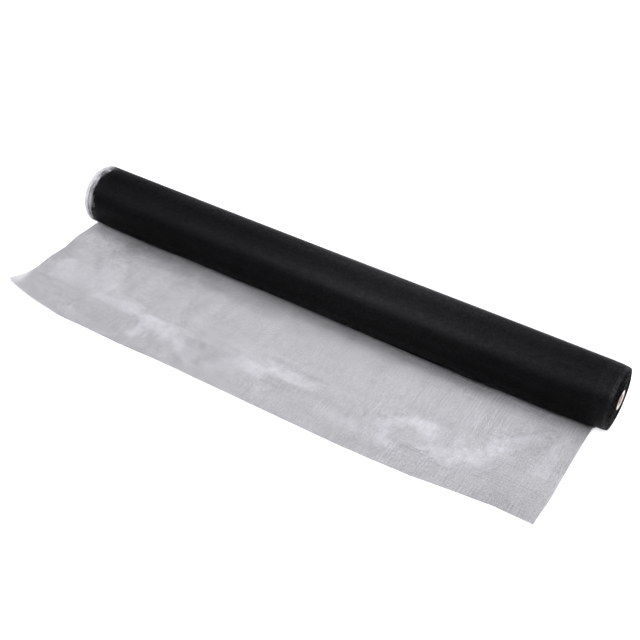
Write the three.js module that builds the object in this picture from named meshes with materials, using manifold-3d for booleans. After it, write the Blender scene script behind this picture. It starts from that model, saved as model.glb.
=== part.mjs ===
// Roll of insect screen mesh on a cardboard core, lying on a floor with its loose end drawn out in front.
// Millimetres, +Z up. X runs along the roll, the loose end lies towards -Y,
// and the origin is on the floor under the middle of the roll.
import * as THREE from "three";
import { mergeVertices } from "three/addons/utils/BufferGeometryUtils.js";
import Module from "manifold-3d";

const wasm = await Module();
wasm.setup();

// Woven mesh and core
const MESH_WIDTH = 1000;
const ROLL_RADIUS = 52.4;
const CORE_OUTER_RADIUS = 16.5;
const CORE_INNER_RADIUS = 10;
const GAP = 0.3;

// Place of the roll: its axis stands over the floor, and its underside is pressed flat on the loose end
const AXIS_HEIGHT = ROLL_RADIUS;
const INNER_TURNS_LEFT = -489.2;
const INNER_TURNS_RIGHT = INNER_TURNS_LEFT + MESH_WIDTH;

// The outer turns wandered to the left as they were wound: how far each radius lies left of the inner turns
const OUTER_TURN_SHIFT = 20.2;
const TURN_SHIFTS = [
  { radius: CORE_OUTER_RADIUS + GAP, shift: 0 },
  { radius: 36, shift: 1 },
  { radius: 44, shift: 2.2 },
  { radius: 48, shift: 3.4 },
  { radius: 50, shift: 4.6 },
  { radius: 51.2, shift: 7 },
  { radius: ROLL_RADIUS, shift: OUTER_TURN_SHIFT },
];

// The last turn drifts on from the shift above to the place of the loose end
const LAST_TURN_DRIFT = 5.9;
const LAST_TURN_DRIFT_SHARE = 0.45; // share of the turn, up the back, over which it drifts
const LAST_TURN_RETURN = 0.09; // share of the turn, low at the front, where the drift steps back
const LAST_TURN_INNER_RADIUS = 51.8;

// Loose end: a sheet from under the roll to its cut front edge
const SHEET_THICKNESS = 1;
const SHEET_LEFT = INNER_TURNS_LEFT - OUTER_TURN_SHIFT - LAST_TURN_DRIFT;
const SHEET_BACK = 8;
const SHEET_COLUMNS = 56;
const SHEET_ROWS = 25;
const FRONT_EDGE = [
  { x: -518, y: -258 },
  { x: -503, y: -267 },
  { x: -347, y: -267.5 },
  { x: -307, y: -266 },
  { x: -108, y: -263.7 },
  { x: 207, y: -263.7 },
  { x: 288, y: -260 },
  { x: 363, y: -253 },
  { x: 430, y: -246.7 },
  { x: 490, y: -247.3 },
];

// Soft folds of the loose end: each ridge runs from one point to another, with a height and a half width
const RIDGES = [
  { fromX: -445, fromY: -61, toX: -368, toY: -148, height: 2, spread: 20 },
  { fromX: -368, fromY: -148, toX: -374, toY: -191, height: 2, spread: 16 },
  { fromX: -349, fromY: -181, toX: -268, toY: -186, height: 2.5, spread: 15 },
  { fromX: -268, fromY: -186, toX: -192, toY: -197, height: 3, spread: 15 },
  { fromX: -192, fromY: -199, toX: -121, toY: -236, height: 2.5, spread: 14 },
  { fromX: -69, fromY: -200, toX: -14, toY: -183, height: 3, spread: 18 },
  { fromX: -14, fromY: -181, toX: 64, toY: -179, height: 2.5, spread: 14 },
  { fromX: 198, fromY: -191, toX: 236, toY: -164, height: 2.5, spread: 15 },
  { fromX: 236, fromY: -164, toX: 287, toY: -150, height: 3, spread: 16 },
  { fromX: 287, fromY: -150, toX: 300, toY: -186, height: 2.5, spread: 14 },
  { fromX: 300, fromY: -193, toX: 322, toY: -209, height: 2.5, spread: 14 },
  { fromX: 322, fromY: -207, toX: 372, toY: -186, height: 2.5, spread: 14 },
  { fromX: 372, fromY: -186, toX: 386, toY: -135, height: 2.5, spread: 14 },
  { fromX: 386, fromY: -135, toX: 440, toY: -76, height: 2.5, spread: 13 },
];
const LEAST_RISE = 0.3; // the tails of the ridges below this lie flat on the floor

// Curl of the left front corner, bent up round a cylinder along a slanting line
const CURL_LINE_START = new THREE.Vector2(-515.3, -178);
const CURL_LINE_END = new THREE.Vector2(-362, -268);
const CURL_RADIUS = 105;

// Facets round the axis
const ROLL_SEGMENTS = 72;
const CORE_SEGMENTS = 48;

// Value of one column of a table at a place along another, on straight lines between its rows
function interpolate(rows, along, column, place) {
  const next = rows.findIndex((row) => row[along] >= place);
  const after = rows[next < 0 ? rows.length - 1 : Math.max(next, 1)];
  const before = rows[rows.indexOf(after) - 1];
  const share = (place - before[along]) / (after[along] - before[along]);
  return before[column] + (after[column] - before[column]) * THREE.MathUtils.clamp(share, 0, 1);
}

// Ring of a closed profile of radius and length along X, round the roll's axis
function ringAlongX(profile, segments) {
  const points = [...profile, profile[0]].map(([radius, x]) => new THREE.Vector2(radius, x));
  const geometry = new THREE.LatheGeometry(points, segments);
  geometry.rotateZ(-Math.PI / 2);
  geometry.translate(0, 0, AXIS_HEIGHT);
  return positionsOnly(geometry);
}

// Geometry with its shared corners merged and nothing but positions
function positionsOnly(geometry) {
  geometry.deleteAttribute("normal");
  geometry.deleteAttribute("uv");
  return mergeVertices(geometry, 1e-4);
}

function toSolid(geometry) {
  const vertProperties = Float32Array.from(geometry.attributes.position.array);
  const triVerts = Uint32Array.from(geometry.index.array);
  return new wasm.Manifold(new wasm.Mesh({ numProp: 3, vertProperties, triVerts }));
}

function toGeometry(solid) {
  const { vertProperties, triVerts } = solid.getMesh();
  const geometry = new THREE.BufferGeometry();
  geometry.setAttribute("position", new THREE.BufferAttribute(vertProperties, 3));
  geometry.setIndex(new THREE.BufferAttribute(triVerts, 1));
  return geometry;
}

// How far the last turn has drifted left at an angle round the roll, from the bottom up the back
function lastTurnDrift(turn) {
  const stillToDrift = 1 - turn / LAST_TURN_DRIFT_SHARE;
  const steppedBack = 1 - (1 - turn) / LAST_TURN_RETURN;
  return LAST_TURN_DRIFT * Math.max(stillToDrift, steppedBack, 0);
}

// Moves the edges of the outermost turn along the roll by its drift
function driftLastTurn(geometry) {
  const position = geometry.attributes.position;
  for (let i = 0; i < position.count; i++) {
    const y = position.getY(i);
    const down = AXIS_HEIGHT - position.getZ(i);
    if (Math.hypot(y, down) > LAST_TURN_INNER_RADIUS) {
      const turn = THREE.MathUtils.euclideanModulo(Math.atan2(y, down) / (2 * Math.PI), 1);
      position.setX(i, position.getX(i) - lastTurnDrift(turn));
    }
  }
}

// Wound mesh: a dished left end, a rounded right shoulder and a small flat underneath
function makeMeshRoll(material) {
  const leftEnd = TURN_SHIFTS.map(({ radius, shift }) => [radius, INNER_TURNS_LEFT - shift]);
  const rightEnd = TURN_SHIFTS.map(({ radius, shift }) => [radius, INNER_TURNS_RIGHT - shift]);
  const wound = ringAlongX([...leftEnd, ...rightEnd.reverse()], ROLL_SEGMENTS);
  driftLastTurn(wound);

  const flatHeight = SHEET_THICKNESS + GAP;
  const below = new THREE.BoxGeometry(2 * MESH_WIDTH, 2 * ROLL_RADIUS, ROLL_RADIUS);
  below.translate(0, 0, flatHeight - ROLL_RADIUS / 2);
  const pressed = toSolid(wound).subtract(toSolid(positionsOnly(below)));
  return namedMesh("mesh_roll", toGeometry(pressed), material);
}

// Cardboard tube, open right through, flush with the inner turns
function makeCoreTube(material) {
  const profile = [
    [CORE_INNER_RADIUS, INNER_TURNS_LEFT],
    [CORE_OUTER_RADIUS, INNER_TURNS_LEFT],
    [CORE_OUTER_RADIUS, INNER_TURNS_RIGHT],
    [CORE_INNER_RADIUS, INNER_TURNS_RIGHT],
  ];
  return namedMesh("core_tube", ringAlongX(profile, CORE_SEGMENTS), material);
}

// Height of the highest ridge at a place on the floor
function ridgeRise(place) {
  const rises = RIDGES.map(({ fromX, fromY, toX, toY, height, spread }) => {
    const crest = new THREE.Line3(new THREE.Vector3(fromX, fromY, 0), new THREE.Vector3(toX, toY, 0));
    const nearest = crest.closestPointToPoint(place, true, new THREE.Vector3());
    return height * Math.exp(-nearest.distanceToSquared(place) / spread ** 2);
  });
  return Math.max(Math.max(...rises) - LEAST_RISE, 0);
}

// Bends a place beyond the curl line up round the curl's cylinder
function curlCorner(place) {
  const along = new THREE.Vector2().subVectors(CURL_LINE_END, CURL_LINE_START).normalize();
  const outward = new THREE.Vector2(along.y, -along.x);
  const beyond = outward.dot(new THREE.Vector2(place.x, place.y).sub(CURL_LINE_START));
  if (beyond > 0) {
    const bend = beyond / CURL_RADIUS;
    const pulledIn = beyond - CURL_RADIUS * Math.sin(bend);
    place.x -= outward.x * pulledIn;
    place.y -= outward.y * pulledIn;
    place.z += CURL_RADIUS * (1 - Math.cos(bend));
  }
}

// Loose end: a thin slab laid over the ridges, with its front corner curled
function makeLooseEnd(material) {
  const slab = new THREE.BoxGeometry(1, 1, 1, SHEET_COLUMNS, SHEET_ROWS, 1);
  slab.translate(0.5, 0.5, 0.5);
  const position = slab.attributes.position;
  const place = new THREE.Vector3();
  for (let i = 0; i < position.count; i++) {
    const x = SHEET_LEFT + MESH_WIDTH * position.getX(i);
    const front = interpolate(FRONT_EDGE, "x", "y", x);
    place.set(x, THREE.MathUtils.lerp(front, SHEET_BACK, position.getY(i)), 0);
    place.z = ridgeRise(place);
    curlCorner(place);
    position.setXYZ(i, place.x, place.y, place.z + SHEET_THICKNESS * position.getZ(i));
  }
  return namedMesh("loose_end", positionsOnly(slab), material);
}

function namedMesh(name, geometry, material) {
  const mesh = new THREE.Mesh(geometry, material);
  mesh.name = name;
  return mesh;
}

const woundMesh = new THREE.MeshStandardMaterial({ color: 0x1c1c1e, roughness: 0.6, metalness: 0 });
const sheerMesh = new THREE.MeshStandardMaterial({ color: 0xbcbec2, roughness: 0.7, metalness: 0 });
const cardboard = new THREE.MeshStandardMaterial({ color: 0xc9a58c, roughness: 0.9, metalness: 0 });

const screenRoll = new THREE.Group();
screenRoll.add(makeMeshRoll(woundMesh), makeCoreTube(cardboard), makeLooseEnd(sheerMesh));

export default screenRoll;
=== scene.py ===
# Roll of insect screen mesh on a cardboard core, lying on a floor with its loose end drawn out in front.
# Sizes are millimetres in the part's own frame: X along the roll, the loose end towards -Y, Z up.
import math

import bpy
import numpy as np
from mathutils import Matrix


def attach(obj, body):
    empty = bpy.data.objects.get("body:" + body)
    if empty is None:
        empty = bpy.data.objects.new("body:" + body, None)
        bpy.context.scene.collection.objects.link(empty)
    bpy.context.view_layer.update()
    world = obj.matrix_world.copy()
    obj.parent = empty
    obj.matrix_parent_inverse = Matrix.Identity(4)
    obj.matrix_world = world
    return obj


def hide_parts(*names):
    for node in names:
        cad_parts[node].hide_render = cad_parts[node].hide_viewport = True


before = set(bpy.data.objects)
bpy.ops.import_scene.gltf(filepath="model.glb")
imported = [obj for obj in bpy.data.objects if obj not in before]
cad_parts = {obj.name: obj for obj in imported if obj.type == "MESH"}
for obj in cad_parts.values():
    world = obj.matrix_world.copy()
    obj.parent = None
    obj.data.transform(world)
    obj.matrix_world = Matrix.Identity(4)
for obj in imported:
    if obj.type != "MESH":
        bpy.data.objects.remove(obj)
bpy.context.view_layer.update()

MM = 0.001

# Camera at the photograph's viewpoint, with its angles in degrees
CAMERA_PLACE = (762.25, -1244.9, 1251.5)
CAMERA_AZIMUTH = 32.403
CAMERA_ELEVATION = 41.202
CAMERA_LENS = 62.55
CAMERA_SENSOR = 36.0

# Weave: coated threads on a plain grid
MESH_WIDTH = 1000.0
WARP_PITCH = 1.41  # between the threads that run along the cloth
WEFT_PITCH = 1.59  # between the threads that run across it
PITCH_WANDER = 0.02  # share by which the spacing of the threads varies
PITCH_WANDER_REACH = 4  # threads over which it varies
WANDER_REACHES = 3  # such reaches on each side that any wander is smoothed over
LAYER = 0.26  # thickness of one wound turn

# Threads
SHEET_THREAD = 0.221  # radius of a thread across the cloth
WOUND_THREAD = 0.285  # the same in the roll's turns, which lie on each other and look denser
THREAD_FLATNESS = 0.5  # share of its roundness that is left in its depth
THREAD_SIDES = 3
WARP_LIFT = 0.46  # of the threads' middles over the floor, in the depth of the loose end's solid
WEFT_LIFT = 0.27
SHEET_STREAKS = 0.095  # share by which their thickness varies, from thread to thread and along each
WOUND_STREAKS = 0.06
SLUBS = 0.065  # the same for streaks that neighbouring threads of the sheet share
SLUB_THREADS = 2
COARSE_X = (-420, 60)  # the sheet is coarse up to the first place and fine from the second on

# Roll
ROLL_RADIUS = 52.9  # a little over the solid's, because the last turn is sheer at its rim
AXIS_HEIGHT = 52.4
FLAT_HEIGHT = 1.3  # the flat underneath, over the floor
INNER_LEFT = -489.2
INNER_RIGHT = INNER_LEFT + MESH_WIDTH
BODY_DEPTH = 0.75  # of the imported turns' outer face under the last turn
BODY_RADIUS = ROLL_RADIUS - BODY_DEPTH

# Edges of the outer turns, by turns from the loose end: each turn in was wound a little further to the right
EDGE_TURNS = (0, 0.45, 1, 1.45, 2, 2.5, 2.56, 3, 4, 5, 6, 7)
LEFT_EDGES = (-515.3, -509.4, -509.4, -502.4, -503.8, -492.5, -495.9, -495.9, -492.6, -490.6, -489.4, -488.6)
RIGHT_EDGES = (484.7, 490.6, 490.6, 500.0, 500.0, 503.2, 503.2, 503.2, 505.2, 506.4, 507.3, 508.0)
LAST_TURN_LEFT = LEFT_EDGES[1]
LAST_TURN_RIGHT = RIGHT_EDGES[1]
EDGE_DENT = 6.5  # high at the back, all the left edges lie this much further right
DENT_TURN = 0.39
DENT_SPREAD = 0.09  # of a turn
STEPPED_TURNS = (1, 2, 3, 4, 5, 6)  # turns under the last one whose edges show at both ends
STEP_STRIP = 22.0  # width of the strip that is made of each at its right end
STEP_OVERLAP = 3.0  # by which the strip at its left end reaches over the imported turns

# The last turn sags away from the roll all down its front, but not at its ends
SAG_DEPTH = 4.0
SAG_TURN = 0.74
SAG_SPREAD = 0.09  # of a turn
SAG_END = 70.0  # length over which it fades at each end

# It also hangs slack low at the front, by depths that vary along the roll
SLACK_TURN = 0.875
SLACK_SPREAD = 0.045  # of a turn
SLACK_X = (-490, -440, -380, -310, -220, -120, -20, 80, 180, 230, 290, 340, 420, 480)
SLACK_DEPTHS = (1.5, 2.8, 3.4, 2.7, 1.0, 1.4, 2.4, 3.2, 3.8, 4.4, 6.6, 4.8, 4.7, 2.0)

# High at the back it flares a little towards both ends
FLARE_TURN = 0.39
FLARE_SPREAD = 0.13  # of a turn
FLARE_X = (-508, -490, -470, -430, -300, -75, 150, 300, 470, 494)
FLARE_DEPTHS = (1.5, 0.9, 0.75, 0.7, 0.4, 0, 0.45, 0.75, 0.9, 0.2)

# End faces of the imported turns, by radius, with a ridge for each pair of turns
FACE_RADII = (16.8, 36.0, 44.0, 48.0, 50.0, 51.2, 51.7)
LEFT_FACE = (-489.2, -489.0, -488.8, -488.4, -487.8, -487.2, -487.0)
RIGHT_FACE = (510.8, 510.2, 509.3, 508.3, 507.0, 504.5, 501.0)
RIDGE_PITCH = 0.55
RIDGE_DEPTH = 0.35
RIDGE_WANDER = 0.30  # how unevenly the ridges stand out
RIDGE_WANDER_REACH = 2  # ridges over which that varies
RIDGE_WOBBLE = 0.25  # the most that one ridge wavers on its way round
FACE_SHOULDER = 1.0  # length between the last ridge of each face and the plain outer face

# Core
CORE_RADIUS = 16.5
CORE_BORE = 10.0
CORE_GAP = 0.3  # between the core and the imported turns
CORE_BEVEL = 0.3  # along the rims of its cut ends
PLY = 0.6  # thickness of one ply of its board
PLY_GROOVE = 0.15  # depth of the groove after each ply on the cut ends
GROOVE_STEP = 0.05  # a third of the groove's width
LINING = 0.2  # thickness of the innermost ply
LINING_INSET = 0.4  # from the cut ends

# Loose end
SHEET_LEFT = LEFT_EDGES[0]
SHEET_BACK = 8.0
FRONT_EDGE_X = (
    -518, -503, -420, -380, -340, -300, -260, -220, -180, -140, -100, 180, 220, 260, 300, 340, 380, 420, 490,
)
FRONT_EDGE_Y = (
    -258, -267, -266.9, -269.2, -267.5, -268.6, -269, -267.9, -266.1, -265.2, -266, -266.2, -265.2, -263.1,
    -261, -256, -252, -247.8, -248,
)

# The side edges waver along the sheet by the amounts below, which fade over a reach into the sheet
SIDE_WAVE_Y = (-240, -190, -150, -120, -80, -45, 0)
LEFT_WAVE_X = (1.0, 2.2, 0.3, 5.1, 0.5, 4.5, 4.6)
RIGHT_WAVE_X = (0.3, 2.6, 1.6, 0.9, 0.2, 0.0, 0.0)
SIDE_WAVE_REACH = 30.0

# Soft folds of the loose end: from one point to another, height and half width
FOLDS = (
    ((-445, -61), (-368, -148), 2.0, 20),
    ((-368, -148), (-374, -191), 2.0, 16),
    ((-349, -181), (-268, -186), 2.5, 15),
    ((-268, -186), (-192, -197), 3.0, 15),
    ((-192, -199), (-121, -236), 2.5, 14),
    ((-69, -200), (-14, -183), 3.0, 18),
    ((-14, -181), (64, -179), 2.5, 14),
    ((198, -191), (236, -164), 2.5, 15),
    ((236, -164), (287, -150), 3.0, 16),
    ((287, -150), (300, -186), 2.5, 14),
    ((300, -193), (322, -209), 2.5, 14),
    ((322, -207), (372, -186), 2.5, 14),
    ((372, -186), (386, -135), 2.5, 14),
    ((386, -135), (440, -76), 2.5, 13),
)
LEAST_RISE = 0.3  # the tails of the folds below this lie flat

# Curl of the left front corner, bent up round a cylinder along a slanting line
CURL_LINE = ((-515.3, -178), (-362, -268))
CURL_RADIUS = 105.0

# Painted light: pale patches painted on the threads, as painted highlight along the folds and as painted
# light at the edges of the roll's shade; how pale, and the corners of each on the floor
PAINTED_LIGHT_PATCHES = (
    (0.13, ((-478, -50), (-448, -55), (-404, -98), (-370, -132), (-352, -168), (-352, -196), (-478, -190))),
    (0.24, ((-512, -25), (-452, -25), (-440, -60), (-462, -90), (-484, -90), (-507, -60))),
    (0.28, ((398, -86), (440, -56), (462, -60), (440, -84), (410, -104))),
    (0.14, ((-518, -205), (-480, -214), (-455, -245), (-440, -270), (-518, -270))),
    (0.22, ((-480, -116), (-468, -118), (-465, -160), (-465, -192), (-480, -190))),
    (0.24, ((-424, -100), (-402, -102), (-374, -132), (-370, -152), (-396, -152), (-406, -128))),
    (0.22, ((-404, -180), (-372, -176), (-348, -190), (-350, -203), (-382, -202))),
    (0.28, ((-326, -174), (-288, -178), (-268, -190), (-284, -197), (-308, -198), (-330, -188))),
    (
        0.45,
        ((-258, -184), (-232, -181), (-196, -183), (-182, -206), (-200, -222), (-222, -214), (-262, -206)),
    ),
    (0.42, ((-260, -204), (-238, -206), (-238, -226), (-246, -244), (-262, -240))),
    (0.36, ((-186, -206), (-166, -203), (-156, -220), (-160, -235), (-180, -226))),
    (0.26, ((-394, -234), (-378, -236), (-376, -250), (-390, -250))),
    (0.18, ((-132, -222), (-62, -215), (-58, -229), (-112, -236))),
    (0.14, ((-92, -160), (-40, -156), (60, -164), (92, -176), (82, -192), (-70, -196))),
    (0.42, ((-68, -180), (-22, -174), (-8, -190), (-8, -215), (-40, -208), (-68, -206))),
    (0.40, ((-22, -166), (0, -171), (32, -169), (58, -176), (74, -186), (60, -195), (-22, -192))),
    (0.32, ((-10, -227), (4, -231), (18, -245), (8, -248))),
    (0.24, ((112, -219), (138, -213), (162, -206), (182, -213), (180, -230), (140, -229))),
    (
        0.44,
        (
            (196, -194), (216, -176), (238, -159), (264, -147),
            (291, -153), (291, -172), (301, -195), (286, -197),
        ),
    ),
    (0.36, ((188, -196), (214, -190), (234, -208), (246, -228), (222, -227), (204, -207))),
    (0.46, ((280, -192), (312, -184), (340, -195), (347, -207), (327, -217), (296, -213), (277, -205))),
    (0.60, ((196, -193), (214, -177), (238, -158), (264, -146), (264, -162), (240, -172), (218, -188))),
    (
        0.54,
        (
            (434, -79), (386, -112), (367, -128), (359, -160),
            (316, -186), (340, -197), (373, -191), (405, -121),
        ),
    ),
    (0.12, ((250, -60), (460, -52), (470, -80), (300, -88))),
    (
        0.26,
        (
            (450, -64), (465, -70), (463, -110), (467, -150),
            (450, -171), (438, -167), (452, -140), (447, -110),
        ),
    ),
)
# Place under an arch that gets no painted light
PATCH_HOLLOW = ((232, -176), (258, -171), (274, -181), (286, -198), (240, -196), (218, -189))  # under an arch
PATCH_EDGE = 6.0  # width over which a patch fades at its outline
PATCH_RAGGED = ((1.5, 28), (1.0, 11))  # how far the outline wanders, and the wavelength of that
RIPPLE_WAVES = 6
RIPPLE_LENGTHS = (0.6, 1.6)  # shortest and longest of the waves, as shares of the wavelength

# Where a fold stands clear of the floor its threads are painted a little pale all over, as painted light that
# offsets the darker shade of lifted cloth
LIFTED_PAINTED_LIGHT = 0.14
LIFTED_RISE = 0.4  # height at which it is fully so

# The front strip was folded once along a line across the cloth, and is a little denser there
CREASE_Y = -195.0
CREASE_WIDTH = 3.5
CREASE_DENSER = 0.05
CREASE_FROM_X = (-220, -160)  # it is lost to the left of here
STRIP_DENSER = 0.075
STRIP_EDGE = 12.0  # width over which the strip begins

# The right side of the sheet is a little denser too, from one place along X to another
RIGHT_DENSER = 0.17
RIGHT_DENSER_X = (330, 470)

# Painted shade: the threads are thickened where the sheet comes out from under the roll, darkening it like
# the roll's shade, by shares that vary along it
CONTACT_Y = -43.0
CONTACT_WIDTH = 12.5
CONTACT_X = (-450, -400, -340, -275, -200, -100, -20, 60, 140, 220, 295, 365, 425)
CONTACT_SHADE_DENSER = (0.12, 0.24, 0.25, 0.22, 0, 0.12, 0.17, 0.32, 0.32, 0.4, 0.38, 0.17, 0.09)

# Places where threads bunch up, from snags to broad stretches: from one point to another, radius, thickening.
# The three broad stretches just in front of the roll's left half are painted shade: thicker threads where the
# roll's shade falls.
BUNCHES_AND_PAINTED_SHADE = (
    ((-135, -198), (-132, -199), 3.0, 0.75),
    ((-119, -233), (-116, -238), 5.0, 0.5),
    ((252, -214), (298, -216), 2.0, 0.2),
    ((-405, -58), (-330, -62), 24.0, 0.14),
    ((150, -252), (440, -238), 16.0, 0.1),
    ((-405, -60), (-425, -110), 20.0, 0.17),
    ((-300, -63), (-80, -66), 14.0, 0.14),
    ((330, -80), (385, -85), 14.0, 0.1),
)

# Steps of the meshes
WARP_STEPS = 28  # along each thread of the loose end
WEFT_STEPS = 72
EDGE_SAMPLES = 2001  # places across the sheet where its front edge is looked up
ROLL_STEPS = 44  # round the roll
STRIP_STEPS = 4  # along it
RING_SEGMENTS = 96
BODY_STEPS = 9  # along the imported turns

# Colours
BLACK_THREAD = (0.0024, 0.0024, 0.0026)
WORN_THREAD = (0.0046, 0.0046, 0.0049)
DUSTY_THREAD = (0.004, 0.004, 0.0042)
DUSTIER_THREAD = (0.21, 0.21, 0.215)
# Colour of the painted light on the sheet's threads
PAINTED_LIGHT_THREAD = (0.50, 0.50, 0.515)
KRAFT_PALE = (0.80, 0.69, 0.61)
KRAFT_DARK = (0.62, 0.52, 0.45)
# Innermost ply: darker board, partly painted shade inside the bore
SHADED_LINING_PALE = (0.34, 0.27, 0.23)
SHADED_LINING_DARK = (0.24, 0.18, 0.15)
FLOOR_WHITE = (0.9, 0.9, 0.9)
STUDIO_WHITE = (0.985, 0.975, 1.03)

# Noise in the looks: waves in a metre, detail, bounds of the noise, and the bounds that these are brought to
WOUND_ROUGHNESS = (220, 3.0, (0.3, 0.7), (0.34, 0.46))
SHEER_ROUGHNESS = (220, 3.0, (0.3, 0.7), (0.30, 0.42))
SHEEN = (320, 3.0, (0.35, 0.65), (0.054, 0.152))
GLINTS = (330, 3.0, (0.48, 0.68), (0, 0.09))
# noise that breaks up the painted light on the sheet
PAINTED_LIGHT_NOISE = (85, 4.0, (0.35, 0.65), (0.45, 1.2))
LINEN_CLEAR = (30, 1.0, (0.42, 0.62), (0.1, 1))
WEAR_SCALE = 35
PACKED_ROUGHNESS = 0.6
SHEER_SHINE = 0.05

# Sheen of the last turn, as shares of the full sheen
SHEEN_RISES_X = (-150, 50)  # the coating is shiniest in the middle of the roll
SHEEN_FALLS_X = (130, 420)
LEFT_SHEEN = 0.64
RIGHT_SHEEN = 0.68
COLLAR_SHEEN = 2.2  # the edges of the turns glint at the right end
COLLAR_X = (497, 504)
# Painted shade: the sheen is cut where the last turn faces down, which darkens the roll's underside
UNDERSIDE_SHADE_SHEEN = 0.3  # it is dullest where it faces down
UNDER_SLOPE = (-0.5, 0.1)  # upward part of the normal where it is dullest and where it is full

# Dust on the loose end, in strokes and a faint grid
FINE_STROKES = (150, 420)  # strokes in a metre along each stroke and across it
COARSE_STROKES = (110, 250)
STROKE_DETAIL = 2.0
LINEN_PERIOD = 5.8  # between the faint lines that groups of threads show
LINEN_WOBBLE = 1.5
WAVE_RATE = 20  # radians in a metre of a wave texture of scale 1
LINEN_SHARE = 0.36
DUST_BOUNDS = (0.44, 0.64)

# Board of the core
FIBRE_SCALE = (120, 900, 900)  # fibres in a metre along X, Y and Z
FIBRE_DETAIL = 5.0
FIBRE_BOUNDS = (0.3, 0.7)
BOARD_ROUGHNESS = 0.85
BOARD_BUMP = 0.25
BOARD_BUMP_HEIGHT = 0.1

# Floor
FLOOR_REACH = 30000.0
FLOOR_ROUGHNESS = 0.95
GLOW_X = (485, 489)  # the ground glows from here on to the right, so the roll's end casts no shadow on it
GLOW_STRENGTH = 0.6

# Light: a dim dome with bright patches
DOME_STRENGTH = 0.18

# Direction, strength, and degrees from the middle where each patch begins and is full
PATCHES = (
    ((0.0, -0.1, 0.995), 2.95, (40, 28)),
    ((-0.36, -0.587, 0.725), 10.6, (17, 6)),
    ((-0.28, 0.73, 0.62), 2.5, (22, 10)),
    ((-0.28, 0.95, 0.13), 0.8, (30, 10)),
    ((0.85, -0.20, 0.49), 3.0, (25, 10)),
)


# Small helpers


def unit(vectors):
    return vectors / np.linalg.norm(vectors, axis=-1, keepdims=True)


def bell(value, middle, spread):
    return np.exp(-(((value - middle) / spread) ** 2))


def smoothstep(value):
    value = np.clip(value, 0, 1)
    return value * value * (3 - 2 * value)


# Smooth rise from 0 at one place to 1 at another
def ramp(value, start, end):
    return smoothstep((value - start) / (end - start))


# Threads


# Smooth random wander of mean zero and unit spread
def wander(count, reach, seed):
    ends = WANDER_REACHES * reach
    draws = np.random.default_rng(seed).normal(size=count + 2 * ends)
    offsets = np.arange(-ends, ends + 1)
    kernel = np.exp(-0.5 * (offsets / reach) ** 2)
    smooth = np.convolve(draws, kernel, mode="valid")
    return (smooth - smooth.mean()) / smooth.std()


# Places of threads over a length, with a spacing that varies a little
def thread_places(length, pitch, seed):
    count = int(length / pitch)
    spacing = 1 + PITCH_WANDER * wander(count, PITCH_WANDER_REACH, seed)
    places = np.concatenate(([0.0], np.cumsum(spacing)))
    return places * length / places[-1]


WARP_PLACES = thread_places(MESH_WIDTH, WARP_PITCH, seed=11)


# Random streaks of unit spread along threads, the same for each group of neighbours
def streaks(threads, points, seed, group=1):
    draws = np.random.default_rng(seed).normal(size=(math.ceil(threads / group), points + 2))
    kernel = np.array((1, 2, 1))
    smooth = sum(weight * draws[:, i : i + points] for i, weight in enumerate(kernel))
    return np.repeat(smooth / np.linalg.norm(kernel), group, axis=0)[:threads]


# Open three-sided threads along paths of shape (threads, points, 3), with an upward vector at each point.
# One side faces up. The vertices' shading normals point straight up and down, as on a pressed flat thread.
def tubes(paths, ups, radii):
    along = unit(np.gradient(paths, axis=1))
    side = unit(np.cross(along, ups))
    up = np.cross(side, along)
    threads, points = paths.shape[:2]
    rings, normals = [], []
    for corner in range(THREAD_SIDES):
        angle = 2 * math.pi * corner / THREAD_SIDES - math.pi / 2
        rings.append(math.cos(angle) * side + THREAD_FLATNESS * math.sin(angle) * up)
        normals.append(math.copysign(1, math.sin(angle)) * up)
    vertices = paths[:, :, None, :] + radii[:, :, None, None] * np.stack(rings, axis=2)
    index = np.arange(threads * points * THREAD_SIDES).reshape(threads, points, THREAD_SIDES)
    after = np.roll(index, -1, axis=2)
    quads = np.stack((index[:, :-1], index[:, 1:], after[:, 1:], after[:, :-1]), axis=-1)
    return vertices.reshape(-1, 3), quads.reshape(-1, 4), np.stack(normals, axis=2).reshape(-1, 3)


# One set of vertices, quads and normals from several
def joined(parts):
    vertices, quads, normals = zip(*parts)
    starts = np.cumsum([0] + [len(part) for part in vertices])
    quads = [part + start for part, start in zip(quads, starts)]
    return np.concatenate(vertices), np.concatenate(quads), np.concatenate(normals)


def mesh_object(name, vertices, quads, material):
    mesh = bpy.data.meshes.new(name)
    mesh.vertices.add(len(vertices))
    mesh.vertices.foreach_set("co", (vertices * MM).astype(np.float32).ravel())
    mesh.loops.add(quads.size)
    mesh.loops.foreach_set("vertex_index", quads.astype(np.int32).ravel())
    mesh.polygons.add(len(quads))
    mesh.polygons.foreach_set("loop_start", np.arange(0, quads.size, 4, dtype=np.int32))
    mesh.polygons.foreach_set("use_smooth", np.ones(len(quads), bool))
    mesh.update(calc_edges=True)
    mesh.validate()
    mesh.materials.append(material)
    piece = bpy.data.objects.new(name, mesh)
    bpy.context.scene.collection.objects.link(piece)
    return piece


def woven_object(name, parts, material):
    vertices, quads, normals = joined(parts)
    piece = mesh_object(name, vertices, quads, material)
    piece.data.normals_split_custom_set_from_vertices(normals)
    return piece


# Loose end


# Squared distance from places on the floor to a line between two points
def distance_squared(x, y, start, end):
    dx, dy = end[0] - start[0], end[1] - start[1]
    share = ((x - start[0]) * dx + (y - start[1]) * dy) / (dx * dx + dy * dy)
    share = np.clip(share, 0, 1)
    return (x - start[0] - share * dx) ** 2 + (y - start[1] - share * dy) ** 2


# Height of the highest fold at places on the floor
def fold_rise(x, y):
    rise = np.zeros(np.broadcast(x, y).shape)
    for start, end, height, spread in FOLDS:
        rise = np.maximum(rise, height * np.exp(-distance_squared(x, y, start, end) / spread**2))
    return np.maximum(rise - LEAST_RISE, 0)


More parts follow.
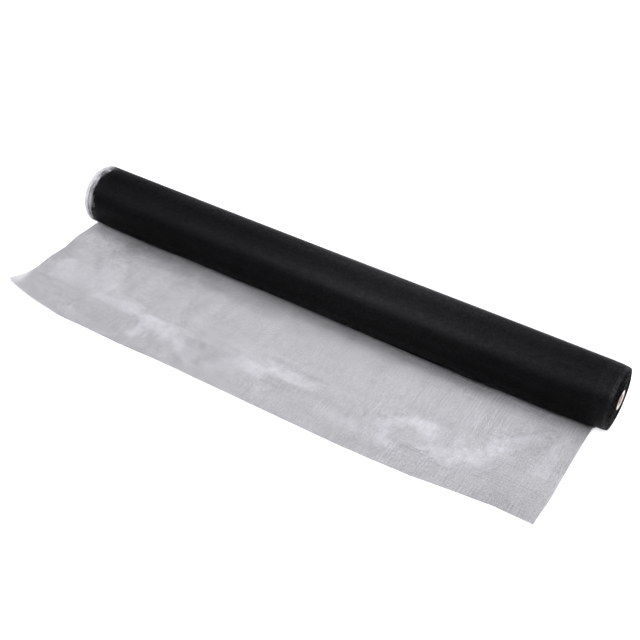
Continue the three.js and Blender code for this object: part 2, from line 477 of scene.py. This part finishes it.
# Uneven waves over the floor, of mean zero and unit spread
def ripple(x, y, wavelength, seed):
    rng = np.random.default_rng(seed)
    total = 0
    for _ in range(RIPPLE_WAVES):
        direction, phase = rng.uniform(0, 2 * math.pi, 2)
        along = x * math.cos(direction) + y * math.sin(direction)
        total = total + np.sin(2 * math.pi * along / (wavelength * rng.uniform(*RIPPLE_LENGTHS)) + phase)
    return total / math.sqrt(RIPPLE_WAVES / 2)


# How far places on the floor lie inside the outline of a patch, as negative distances outside it
def depth_inside(x, y, corners):
    nearest = np.full(np.shape(x), np.inf)
    inside = np.zeros(np.shape(x), bool)
    for (from_x, from_y), (to_x, to_y) in zip(corners, corners[1:] + corners[:1]):
        nearest = np.minimum(nearest, distance_squared(x, y, (from_x, from_y), (to_x, to_y)))
        crossed = (from_y > y) != (to_y > y)
        rise = to_y - from_y
        inside ^= crossed & (((x - from_x) * rise - (to_x - from_x) * (y - from_y)) * rise < 0)
    return np.where(inside, 1, -1) * np.sqrt(nearest)


# Painted light: how pale the threads are painted in the patches, which have ragged but clear outlines
def painted_light_share(x, y):
    ragged = 0
    for i, (reach, wavelength) in enumerate(PATCH_RAGGED):
        ragged = ragged + reach * ripple(x, y, wavelength, seed=61 + i)

    def share_inside(corners):
        return smoothstep((depth_inside(x, y, corners) + ragged) / PATCH_EDGE + 0.5)

    # Painted light where folds stand clear of the floor
    pale = LIFTED_PAINTED_LIGHT * smoothstep(fold_rise(x, y) / LIFTED_RISE)
    for strength, corners in PAINTED_LIGHT_PATCHES:
        pale = np.maximum(pale, strength * share_inside(corners))
    return pale * (1 - share_inside(PATCH_HOLLOW))


# Share by which the threads of the sheet thicken in its denser places, some of them painted shade next to the
# roll
def denser(x, y):
    share = STRIP_DENSER * smoothstep((CREASE_Y - y) / STRIP_EDGE + 0.5)
    share = share + CREASE_DENSER * ramp(x, *CREASE_FROM_X) * bell(y, CREASE_Y, CREASE_WIDTH)
    share = share + RIGHT_DENSER * ramp(x, *RIGHT_DENSER_X)
    # Painted shade next to the roll, by thicker threads
    share = share + bell(y, CONTACT_Y, CONTACT_WIDTH) * np.interp(x, CONTACT_X, CONTACT_SHADE_DENSER)
    # Snags, and painted shade in front of the roll
    for start, end, radius, strength in BUNCHES_AND_PAINTED_SHADE:
        share = share + strength * np.exp(-distance_squared(x, y, start, end) / radius**2)
    return share


# Thickness of the sheet's threads, with streaks and slubs
def sheet_radii(x, y, seed):
    coarse_to, fine_from = COARSE_X
    uneven = SHEET_STREAKS * streaks(*x.shape, seed)
    uneven = uneven + SLUBS * ramp(x, fine_from, coarse_to) * streaks(*x.shape, seed + 1, SLUB_THREADS)
    return SHEET_THREAD * (1 + uneven + denser(x, y))


# Unit vector in the floor that points out of the sheet, square to the line where the corner begins to curl
def curl_outward():
    (start_x, start_y), (end_x, end_y) = CURL_LINE
    length = math.hypot(end_x - start_x, end_y - start_y)
    return (end_y - start_y) / length, -(end_x - start_x) / length


# Place in space of a point of the flat sheet, raised by a lift over the face it lies on
def sheet_place(x, y, lift):
    z = fold_rise(x, y) + lift
    from_left = np.exp(-(x - SHEET_LEFT) / SIDE_WAVE_REACH)
    from_right = np.exp(-(SHEET_LEFT + MESH_WIDTH - x) / SIDE_WAVE_REACH)
    x = x + np.interp(y, SIDE_WAVE_Y, LEFT_WAVE_X) * from_left
    x = x + np.interp(y, SIDE_WAVE_Y, RIGHT_WAVE_X) * from_right
    out_x, out_y = curl_outward()
    beyond = np.maximum((x - CURL_LINE[0][0]) * out_x + (y - CURL_LINE[0][1]) * out_y, 0)
    bend = beyond / CURL_RADIUS
    pulled_in = beyond - CURL_RADIUS * np.sin(bend)
    z = z + CURL_RADIUS * (1 - np.cos(bend))
    return np.stack((x - out_x * pulled_in, y - out_y * pulled_in, z), axis=-1)


def front_edge(x):
    return np.interp(x, FRONT_EDGE_X, FRONT_EDGE_Y)


# Threads of the sheet through points of shape (threads, points), and how pale they are painted there
def sheet_threads(x, y, lift, seed):
    paths = sheet_place(x, y, lift)
    ups = np.broadcast_to((0.0, 0.0, 1.0), paths.shape)
    return tubes(paths, ups, sheet_radii(x, y, seed)), painted_light_share(x, y)


# Threads of the loose end that run from under the roll to the front edge
def sheet_warp():
    x = SHEET_LEFT + WARP_PLACES[:, None]
    share = np.linspace(0, 1, WARP_STEPS + 1)[None, :]
    y = SHEET_BACK + (front_edge(x) - SHEET_BACK) * share
    return sheet_threads(np.broadcast_to(x, y.shape), y, WARP_LIFT, seed=12)


# Threads of the loose end that run across it, each as far as the front edge lets it
def sheet_weft():
    deepest = SHEET_BACK - min(FRONT_EDGE_Y)
    y = SHEET_BACK - thread_places(deepest, WEFT_PITCH, seed=21)[1:-1]
    across = np.linspace(SHEET_LEFT, SHEET_LEFT + MESH_WIDTH, EDGE_SAMPLES)
    inside = front_edge(across)[None, :] <= y[:, None]
    first = across[inside.argmax(axis=1)]
    last = across[len(across) - 1 - inside[:, ::-1].argmax(axis=1)]
    share = np.linspace(0, 1, WEFT_STEPS + 1)[None, :]
    x = first[:, None] + (last - first)[:, None] * share
    return sheet_threads(x, np.broadcast_to(y[:, None], x.shape), WEFT_LIFT, seed=22)


def make_loose_end(material):
    (warp, warp_pale), (weft, weft_pale) = sheet_warp(), sheet_weft()
    piece = woven_object("loose_screen", [warp, weft], material)
    # Painted light of each vertex, kept in the attribute pale
    pale = np.concatenate((warp_pale.ravel(), weft_pale.ravel())).repeat(THREAD_SIDES)
    layer = piece.data.attributes.new("pale", "FLOAT", "POINT")
    layer.data.foreach_set("value", pale.astype(np.float32))
    return piece


# Roll


# Edges of the wound cloth, at a number of turns from the loose end
def left_edge(turn):
    dent = EDGE_DENT * bell(np.mod(turn, 1), DENT_TURN, DENT_SPREAD)
    return np.interp(turn, EDGE_TURNS, LEFT_EDGES) + dent


def right_edge(turn):
    return np.interp(turn, EDGE_TURNS, RIGHT_EDGES)


# How far the last turn hangs away from the roll
def slack(turn, x):
    from_ends = smoothstep((x - LAST_TURN_LEFT) / SAG_END) * smoothstep((LAST_TURN_RIGHT - x) / SAG_END)
    sag = SAG_DEPTH * from_ends * bell(turn, SAG_TURN, SAG_SPREAD)
    low = bell(turn, SLACK_TURN, SLACK_SPREAD) * np.interp(x, SLACK_X, SLACK_DEPTHS)
    flare = bell(turn, FLARE_TURN, FLARE_SPREAD) * np.interp(x, FLARE_X, FLARE_DEPTHS)
    return sag + low + flare


# Places on the roll, by turns from the loose end and the place along X, with the outward vector there
def roll_place(turn, x, lift):
    angle = 2 * math.pi * turn
    radius = ROLL_RADIUS - LAYER * turn + slack(turn, x) + lift
    y = radius * np.sin(angle)
    z = np.maximum(AXIS_HEIGHT - radius * np.cos(angle), FLAT_HEIGHT)
    outward = np.stack((0 * angle, np.sin(angle), -np.cos(angle)), axis=-1)
    return np.stack((x, y, z), axis=-1), outward


# Threads of the roll through points of shape (threads, points)
def roll_threads(turns, x, lift, seed):
    paths, ups = roll_place(turns, x, lift)
    return tubes(paths, ups, WOUND_THREAD * (1 + WOUND_STREAKS * streaks(*x.shape, seed)))


# Weave of one turn of the roll, as the threads at some distances from one edge of the cloth
def turn_weave(turn, edge, places, seed):
    turns = turn + np.linspace(0, 1, ROLL_STEPS + 1)
    turns = np.broadcast_to(turns[None, :], (len(places), len(turns)))
    warp = roll_threads(turns, edge(turns) + places[:, None], -LAYER / 2, seed)

    girth = 2 * math.pi * ROLL_RADIUS
    around = turn + thread_places(girth, WEFT_PITCH, seed + 1)[:-1, None] / girth
    x = edge(around) + np.linspace(places[0], places[-1], STRIP_STEPS + 1)[None, :]
    weft = roll_threads(np.broadcast_to(around, x.shape), x, -LAYER, seed + 2)
    return [warp, weft]


def make_last_turn(material):
    return woven_object("last_turn", turn_weave(0, left_edge, WARP_PLACES, seed=31), material)


# Edges of the turns under the last one, which show as steps at both ends
def make_stepped_turns(material):
    strips = []
    for turn in STEPPED_TURNS:
        left = np.arange(0, INNER_LEFT + STEP_OVERLAP - left_edge(turn), WARP_PITCH)
        right = -np.arange(0, STEP_STRIP, WARP_PITCH)
        strips += turn_weave(turn, left_edge, left, seed=100 + 10 * turn)
        strips += turn_weave(turn, right_edge, right, seed=105 + 10 * turn)
    return woven_object("stepped_turns", strips, material)


# Closed ring round the roll's axis from a closed profile of radius and x. Each point of the profile may waver
# along X on its way round, by the size and phase in its row of wobble.
def ring(profile, wobble):
    angles = np.linspace(0, 2 * math.pi, RING_SEGMENTS, endpoint=False)
    radius, x = profile[:, 0:1], profile[:, 1:2]
    x = x + wobble[:, 0:1] * np.sin(angles[None, :] + wobble[:, 1:2])
    y = radius * np.sin(angles)
    z = AXIS_HEIGHT - radius * np.cos(angles)
    vertices = np.stack((x, y, z), axis=-1).reshape(-1, 3)
    index = np.arange(len(vertices)).reshape(len(profile), RING_SEGMENTS)
    up, across = np.roll(index, -1, axis=0), np.roll(index, -1, axis=1)
    both = np.roll(up, -1, axis=1)
    quads = np.stack((index, up, both, across), axis=-1)
    return vertices, quads.reshape(-1, 4)


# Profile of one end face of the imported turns, from the core out
def ridged_face(radii, face, outward, seed):
    places = np.interp(radii, FACE_RADII, face)
    step = RIDGE_WANDER * wander(len(radii), RIDGE_WANDER_REACH, seed)
    crests = np.stack((radii, places + outward * step), axis=1)
    grooves = np.stack((radii + RIDGE_PITCH / 2, places + outward * (step - RIDGE_DEPTH)), axis=1)
    return np.stack((crests, grooves), axis=1).reshape(-1, 2)


# Packed turns: fine ridges of turn edges on both end faces, and a plain outer face that the last turn covers
def make_wound_body(material):
    rng = np.random.default_rng(51)
    radii = np.arange(CORE_RADIUS + CORE_GAP, BODY_RADIUS, RIDGE_PITCH)
    left = ridged_face(radii, LEFT_FACE, -1, seed=52)
    right = ridged_face(radii, RIGHT_FACE, 1, seed=53)
    outer_x = np.linspace(left[-1, 1] + FACE_SHOULDER, right[-1, 1] - FACE_SHOULDER, BODY_STEPS)
    outer = np.stack((np.full(BODY_STEPS, BODY_RADIUS), outer_x), axis=1)
    profile = np.concatenate((left, outer, right[::-1]))
    wobble = np.zeros(profile.shape)
    for rows in (slice(0, len(left)), slice(len(left) + len(outer), None)):
        count = len(profile[rows])
        sizes = rng.uniform(0, RIDGE_WOBBLE, count)
        phases = rng.uniform(0, 2 * math.pi, count)
        wobble[rows] = np.stack((sizes, phases), axis=1)
    vertices, quads = ring(profile, wobble)
    vertices[:, 2] = np.maximum(vertices[:, 2], FLAT_HEIGHT)
    return mesh_object("wound_turns", vertices, quads, material)


# Cardboard tube with its plies showing on the cut ends
def make_core(material):
    rows = []
    for start in np.arange(CORE_BORE, CORE_RADIUS, PLY):
        end = start + PLY
        rows += [(start + GROOVE_STEP, 0.0), (end - 2 * GROOVE_STEP, 0.0), (end - GROOVE_STEP, PLY_GROOVE)]
    rows[0] = (CORE_BORE, CORE_BEVEL)
    rows[-1] = (CORE_RADIUS, CORE_BEVEL)
    rows = np.array(rows)
    left = np.stack((rows[:, 0], INNER_LEFT + rows[:, 1]), axis=1)
    right = np.stack((rows[::-1, 0], INNER_RIGHT - rows[::-1, 1]), axis=1)
    profile = np.concatenate((left, right))
    vertices, quads = ring(profile, np.zeros(profile.shape))
    return mesh_object("paper_core", vertices, quads, material)


# Innermost ply of the tube, of darker board: partly the board's own colour and partly painted shade inside
# the bore
def make_core_lining(material):
    inner, outer = CORE_BORE - LINING, CORE_BORE
    left, right = INNER_LEFT + LINING_INSET, INNER_RIGHT - LINING_INSET
    profile = np.array([[inner, left], [outer, left], [outer, right], [inner, right]])
    vertices, quads = ring(profile, np.zeros(profile.shape))
    return mesh_object("core_lining", vertices, quads, material)


# Materials


def new_material(name):
    material = bpy.data.materials.new(name)
    material.use_nodes = True
    tree = material.node_tree
    return material, tree, tree.nodes["Principled BSDF"]


def add(tree, kind, **values):
    node = tree.nodes.new(kind)
    for key, value in values.items():
        setattr(node, key, value)
    return node


def metres(lengths):
    return tuple(MM * length for length in lengths)


def object_coordinates(tree):
    return add(tree, "ShaderNodeTexCoord").outputs["Object"]


# Parts of a vector along X, Y and Z
def parts_of(tree, vector):
    parts = add(tree, "ShaderNodeSeparateXYZ")
    tree.links.new(vector, parts.inputs["Vector"])
    return parts.outputs


def normal_parts(tree):
    return parts_of(tree, add(tree, "ShaderNodeNewGeometry").outputs["Normal"])


def scaled(tree, place, scale):
    node = add(tree, "ShaderNodeMapping")
    node.inputs["Scale"].default_value = scale
    tree.links.new(place, node.inputs["Vector"])
    return node.outputs["Vector"]


def noise(tree, place, scale, detail=3.0):
    node = add(tree, "ShaderNodeTexNoise")
    node.inputs["Scale"].default_value = scale
    node.inputs["Detail"].default_value = detail
    tree.links.new(place, node.inputs["Vector"])
    return node.outputs["Fac"]


# Value brought from one pair of bounds to another
def remap(tree, value, bounds, to_bounds):
    node = add(tree, "ShaderNodeMapRange")
    for socket, number in zip(("From Min", "From Max", "To Min", "To Max"), (*bounds, *to_bounds)):
        node.inputs[socket].default_value = number
    tree.links.new(value, node.inputs["Value"])
    return node.outputs["Result"]


def remapped_noise(tree, place, look):
    scale, detail, bounds, to_bounds = look
    return remap(tree, noise(tree, place, scale, detail), bounds, to_bounds)


def multiplied(tree, first, second):
    node = add(tree, "ShaderNodeMath", operation="MULTIPLY")
    tree.links.new(first, node.inputs[0])
    tree.links.new(second, node.inputs[1])
    return node.outputs["Value"]


# Blend of two values by a share, each of them a number or a socket
def blended(tree, share, first, second):
    node = add(tree, "ShaderNodeMix")
    for socket, value in zip(("Factor", "A", "B"), (share, first, second)):
        if isinstance(value, float):
            node.inputs[socket].default_value = value
        else:
            tree.links.new(value, node.inputs[socket])
    return node.outputs["Result"]


# Blend of two colours by a share, each of them a tuple or a socket
def mixed_colour(tree, share, first, second):
    node = add(tree, "ShaderNodeMix", data_type="RGBA")
    tree.links.new(share, node.inputs["Factor"])
    for socket, colour in ((node.inputs[6], first), (node.inputs[7], second)):
        if isinstance(colour, tuple):
            socket.default_value = (*colour, 1)
        else:
            tree.links.new(colour, socket)
    return node.outputs[2]


# Noise in short strokes along the cloth and across it
def crossed_strokes(tree, place, along, across):
    strokes = []
    for scale in ((along, across, across), (across, along, across)):
        strokes.append(noise(tree, scaled(tree, place, scale), 1.0, STROKE_DETAIL))
    return blended(tree, 0.5, *strokes)


# Faint grid of lines along the cloth and across it, clear in some patches and lost in others
def linen_grid(tree, place):
    lines = []
    for direction in ("X", "Y"):
        wave = add(tree, "ShaderNodeTexWave", bands_direction=direction)
        wave.inputs["Scale"].default_value = 2 * math.pi / (WAVE_RATE * LINEN_PERIOD * MM)
        wave.inputs["Distortion"].default_value = LINEN_WOBBLE
        tree.links.new(place, wave.inputs["Vector"])
        lines.append(wave.outputs["Fac"])
    clear = remapped_noise(tree, place, LINEN_CLEAR)
    return blended(tree, clear, 0.5, blended(tree, 0.5, *lines))


def worn_black(tree, place):
    return mixed_colour(tree, noise(tree, place, WEAR_SCALE), BLACK_THREAD, WORN_THREAD)


# Black threads, packed many turns deep, with cut edges that glint here and there at both ends
def packed_material():
    material, tree, shader = new_material("packed_mesh")
    place = object_coordinates(tree)
    tree.links.new(worn_black(tree, place), shader.inputs["Base Color"])
    shader.inputs["Roughness"].default_value = PACKED_ROUGHNESS
    facing_out = normal_parts(tree)["X"]
    sheen = multiplied(tree, remapped_noise(tree, place, GLINTS), multiplied(tree, facing_out, facing_out))
    tree.links.new(sheen, shader.inputs["Specular IOR Level"])
    return material


# Share of the full sheen that the last turn has at each place, with painted shade where it faces down
def sheen_share(tree, place):
    x = parts_of(tree, place)["X"]
    rises = remap(tree, x, metres(SHEEN_RISES_X), (LEFT_SHEEN, 1))
    falls = remap(tree, x, metres(SHEEN_FALLS_X), (1, RIGHT_SHEEN))
    # Painted shade: less sheen where it faces down
    underside_shade = remap(tree, normal_parts(tree)["Z"], UNDER_SLOPE, (UNDERSIDE_SHADE_SHEEN, 1))
    collar = remap(tree, x, metres(COLLAR_X), (1, COLLAR_SHEEN))
    return multiplied(tree, multiplied(tree, rises, falls), multiplied(tree, underside_shade, collar))


# Black coated threads of the outer turns
def wound_material():
    material, tree, shader = new_material("wound_mesh")
    place = object_coordinates(tree)
    tree.links.new(worn_black(tree, place), shader.inputs["Base Color"])
    tree.links.new(remapped_noise(tree, place, WOUND_ROUGHNESS), shader.inputs["Roughness"])
    sheen = multiplied(tree, remapped_noise(tree, place, SHEEN), sheen_share(tree, place))
    tree.links.new(sheen, shader.inputs["Specular IOR Level"])
    return material


# The same threads in one sheer layer, dusty, and painted pale along the folds as painted highlight
def sheer_material():
    material, tree, shader = new_material("sheer_mesh")
    place = object_coordinates(tree)
    fine = remap(tree, parts_of(tree, place)["X"], metres(COARSE_X), (0, 1))
    coarse_strokes = crossed_strokes(tree, place, *COARSE_STROKES)
    fine_strokes = crossed_strokes(tree, place, *FINE_STROKES)
    strokes = blended(tree, fine, coarse_strokes, fine_strokes)
    grain = blended(tree, LINEN_SHARE, strokes, linen_grid(tree, place))
    dust = remap(tree, grain, DUST_BOUNDS, (0, 1))
    black = mixed_colour(tree, dust, DUSTY_THREAD, DUSTIER_THREAD)
    # Painted highlight and painted light on the folds, from the attribute pale
    pale = add(tree, "ShaderNodeAttribute", attribute_name="pale").outputs["Fac"]
    painted_light = multiplied(tree, pale, remapped_noise(tree, place, PAINTED_LIGHT_NOISE))
    tree.links.new(mixed_colour(tree, painted_light, black, PAINTED_LIGHT_THREAD), shader.inputs["Base Color"])
    tree.links.new(remapped_noise(tree, place, SHEER_ROUGHNESS), shader.inputs["Roughness"])
    shader.inputs["Specular IOR Level"].default_value = SHEER_SHINE
    return material


# Plain board with fibres along the tube
def board_material(name, dark, pale):
    material, tree, shader = new_material(name)
    fibres = noise(tree, scaled(tree, object_coordinates(tree), FIBRE_SCALE), 1.0, FIBRE_DETAIL)
    colour = mixed_colour(tree, remap(tree, fibres, FIBRE_BOUNDS, (0, 1)), dark, pale)
    tree.links.new(colour, shader.inputs["Base Color"])
    shader.inputs["Roughness"].default_value = BOARD_ROUGHNESS
    bump = add(tree, "ShaderNodeBump")
    bump.inputs["Strength"].default_value = BOARD_BUMP
    bump.inputs["Distance"].default_value = BOARD_BUMP_HEIGHT * MM
    tree.links.new(fibres, bump.inputs["Height"])
    tree.links.new(bump.outputs["Normal"], shader.inputs["Normal"])
    return material


# Pale ground, which glows to the right of the roll
def floor_material():
    material, tree, shader = new_material("floor")
    shader.inputs["Base Color"].default_value = (*FLOOR_WHITE, 1)
    glow = remap(tree, parts_of(tree, object_coordinates(tree))["X"], metres(GLOW_X), (0, GLOW_STRENGTH))
    shader.inputs["Emission Color"].default_value = (1, 1, 1, 1)
    tree.links.new(glow, shader.inputs["Emission Strength"])
    shader.inputs["Roughness"].default_value = FLOOR_ROUGHNESS
    shader.inputs["Specular IOR Level"].default_value = 0.0
    return material


# Stage


def make_floor(material):
    reach = FLOOR_REACH * MM
    corners = [(-reach, -reach, 0), (reach, -reach, 0), (reach, reach, 0), (-reach, reach, 0)]
    mesh = bpy.data.meshes.new("floor")
    mesh.from_pydata(corners, [], [(0, 1, 2, 3)])
    mesh.materials.append(material)
    floor = bpy.data.objects.new("floor", mesh)
    bpy.context.scene.collection.objects.link(floor)


# Strength of one bright patch in each direction of the dome
def patch_strength(tree, towards, middle, strength, edges):
    nearness = add(tree, "ShaderNodeVectorMath", operation="DOT_PRODUCT")
    nearness.inputs[1].default_value = middle
    tree.links.new(towards, nearness.inputs[0])
    bounds = tuple(math.cos(math.radians(edge)) for edge in edges)
    patch = remap(tree, nearness.outputs["Value"], bounds, (0, strength))
    patch.node.interpolation_type = "SMOOTHSTEP"
    return patch


# White dome with bright patches overhead, over the front, behind and to the right
def make_world():
    world = bpy.data.worlds.new("studio")
    world.use_nodes = True
    tree = world.node_tree
    background = tree.nodes["Background"]
    background.inputs["Color"].default_value = (*STUDIO_WHITE, 1)
    towards = add(tree, "ShaderNodeTexCoord").outputs["Generated"]
    total = add(tree, "ShaderNodeValue").outputs["Value"]
    total.default_value = DOME_STRENGTH
    for middle, strength, edges in PATCHES:
        summed = add(tree, "ShaderNodeMath", operation="ADD")
        tree.links.new(total, summed.inputs[0])
        tree.links.new(patch_strength(tree, towards, middle, strength, edges), summed.inputs[1])
        total = summed.outputs["Value"]
    tree.links.new(total, background.inputs["Strength"])
    bpy.context.scene.world = world


def make_camera():
    camera = bpy.data.cameras.new("camera")
    camera.lens = CAMERA_LENS
    camera.sensor_width = CAMERA_SENSOR
    viewer = bpy.data.objects.new("camera", camera)
    viewer.location = metres(CAMERA_PLACE)
    viewer.rotation_euler = (math.radians(90 - CAMERA_ELEVATION), 0, math.radians(CAMERA_AZIMUTH))
    bpy.context.scene.collection.objects.link(viewer)
    bpy.context.scene.camera = viewer


make_camera()
make_floor(floor_material())
make_world()
bpy.context.scene.view_settings.view_transform = "Standard"

wound = wound_material()
loose_screen = make_loose_end(sheer_material())
last_turn = make_last_turn(wound)
stepped_turns = make_stepped_turns(wound)
wound_turns = make_wound_body(packed_material())
paper_core = make_core(board_material("kraft_board", KRAFT_DARK, KRAFT_PALE))
core_lining = make_core_lining(board_material("shaded_lining_board", SHADED_LINING_DARK, SHADED_LINING_PALE))

for piece, slot in (
    (loose_screen, "sheer_mesh"),
    (last_turn, "wound_mesh"),
    (stepped_turns, "wound_mesh"),
    (wound_turns, "wound_mesh"),
    (paper_core, "cardboard"),
    (core_lining, "cardboard"),
):
    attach(piece, "root")
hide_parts("loose_end")
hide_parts("mesh_roll")
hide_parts("core_tube")
